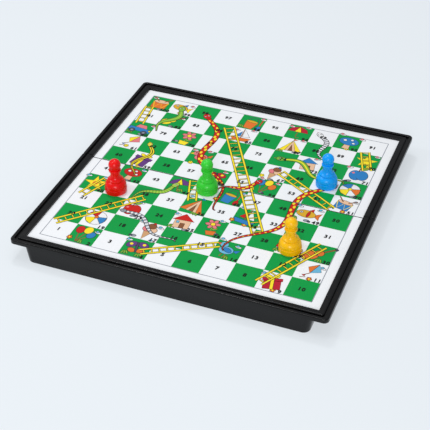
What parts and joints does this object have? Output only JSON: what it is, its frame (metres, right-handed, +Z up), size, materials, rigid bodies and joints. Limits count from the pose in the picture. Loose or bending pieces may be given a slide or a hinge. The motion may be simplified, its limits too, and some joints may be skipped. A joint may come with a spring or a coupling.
{
  "type": "folding magnetic board game",
  "caption": "Folding snakes and ladders board: two hinged hollow trays with a printed magnetic playing surface and four lift-off pawns.",
  "frame": {"origin": "on the table, in the middle of the board's fold line, at the bottom of the trays", "axes": "+Z up, normal to the playing surface; +Y across the fold, from the near half to the far half; +X along the near edge, to the player's right"},
  "size_m": [0.25, 0.25, 0.0448],
  "materials": {
    "moulded_tray": "black moulded plastic, fine satin texture, soft highlights on the rim",
    "steel_sheet": "thin tinned steel sheet",
    "printed_sheet": "white printed sheet under a clear laminate",
    "hinge_wire": "drawn steel wire",
    "magnet": "sintered ferrite disc",
    "red_pawn": "glossy moulded plastic",
    "green_pawn": "glossy moulded plastic",
    "blue_pawn": "glossy moulded plastic",
    "yellow_pawn": "glossy moulded plastic"
  },
  "bodies": {
    "near_half": {"near_tray": "moulded_tray", "near_steel_sheet": "steel_sheet", "near_print_sheet": "printed_sheet", "hinge_pin_left": "hinge_wire", "hinge_pin_right": "hinge_wire"},
    "far_half": {"far_tray": "moulded_tray", "far_steel_sheet": "steel_sheet", "far_print_sheet": "printed_sheet"},
    "red_pawn": {"red_pawn_body": "red_pawn", "red_pawn_base_cap": "red_pawn", "red_pawn_magnet": "magnet"},
    "green_pawn": {"green_pawn_body": "green_pawn", "green_pawn_base_cap": "green_pawn", "green_pawn_magnet": "magnet"},
    "blue_pawn": {"blue_pawn_body": "blue_pawn", "blue_pawn_base_cap": "blue_pawn", "blue_pawn_magnet": "magnet"},
    "yellow_pawn": {"yellow_pawn_body": "yellow_pawn", "yellow_pawn_base_cap": "yellow_pawn", "yellow_pawn_magnet": "magnet"}
  },
  "joints": [
    {"name": "board_fold", "type": "hinge", "parent": "near_half", "child": "far_half", "pos_m": [0, 0, 0.002], "axis": [-1, 0, 0], "range_deg": [0, 180]},
    {"name": "red_pawn_lift", "type": "slide", "parent": "near_half", "child": "red_pawn", "axis": [0, 0, 1], "range_m": [0, 0.06]},
    {"name": "green_pawn_lift", "type": "slide", "parent": "near_half", "child": "green_pawn", "axis": [0, 0, 1], "range_m": [0, 0.06]},
    {"name": "blue_pawn_lift", "type": "slide", "parent": "far_half", "child": "blue_pawn", "axis": [0, 0, 1], "range_m": [0, 0.06]},
    {"name": "yellow_pawn_lift", "type": "slide", "parent": "near_half", "child": "yellow_pawn", "axis": [0, 0, 1], "range_m": [0, 0.06]}
  ]
}
